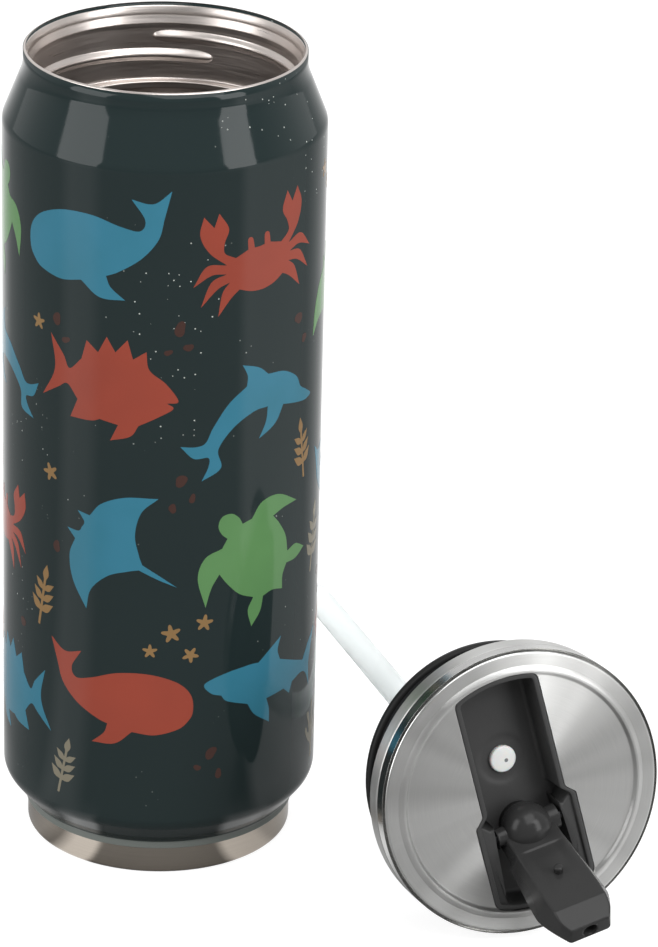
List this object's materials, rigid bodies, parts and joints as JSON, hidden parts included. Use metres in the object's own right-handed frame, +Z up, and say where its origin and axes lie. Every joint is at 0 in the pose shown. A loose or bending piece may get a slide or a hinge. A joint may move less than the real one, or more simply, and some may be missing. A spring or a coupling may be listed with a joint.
{
  "type": "kids water bottle",
  "caption": "Can-shaped double-walled steel bottle with a printed shell, its screw lid off and beside it, with a flip-up spout, a vent and a drinking straw.",
  "frame": {"origin": "centre of the bottle's foot, on the table", "axes": "+Z up along the bottle's axis, out of its mouth; -Y towards the side that the lid's open spout points to; +X towards the lid that stands beside the bottle"},
  "size_m": [0.1368, 0.1743, 0.173],
  "materials": {
    "shell_paint": "satin dark slate paint with a printed pattern",
    "liner_steel": "bare satin steel",
    "foot_steel": "polished bare steel",
    "pad_rubber": "soft matte pad",
    "seal_glass": "fused bead",
    "getter_metal": "dull grey metal",
    "cap_steel": "circular brushed steel",
    "black_plastic": "moulded black plastic",
    "seal_rubber": "soft black silicone",
    "tray_plastic": "moulded black plastic with a fine grain",
    "white_silicone": "soft white silicone",
    "pin_steel": "ground pins",
    "spout_plastic": "moulded black plastic with a soft sheen",
    "straw_plastic": "translucent white tube"
  },
  "bodies": {
    "bottle": {"outer_shell": "shell_paint", "inner_liner": "liner_steel", "liner_base": "liner_steel", "outer_base": "foot_steel", "foot_pad": "pad_rubber", "vacuum_seal": "seal_glass", "getter": "getter_metal", "getter_clip": "getter_metal"},
    "lid": {"lid_cover": "cap_steel", "lid_plug": "black_plastic", "plug_floor": "black_plastic", "lid_gasket": "seal_rubber", "spout_tray": "tray_plastic", "vent_valve": "white_silicone", "spout_seal": "seal_rubber", "hinge_pins": "pin_steel", "straw_socket": "black_plastic"},
    "spout": {"spout": "spout_plastic"},
    "straw": {"straw": "straw_plastic"}
  },
  "joints": [
    {"name": "lid_carry", "type": "hinge", "parent": "bottle", "child": "lid", "pos_m": [-0.01468, 0.20458, 0.19921], "axis": [-0.9582, -0.2443, -0.1492], "range_deg": [0, 82.8]},
    {"name": "spout_flip", "type": "hinge", "parent": "lid", "child": "spout", "pos_m": [0.07697, -0.04537, 0.02231], "axis": [0.8935, 0.3918, 0.2192], "range_deg": [-120, 0]},
    {"name": "straw_pull", "type": "slide", "parent": "lid", "child": "straw", "axis": [-0.3675, 0.9188, -0.1444], "range_m": [0, 0.01]}
  ]
}
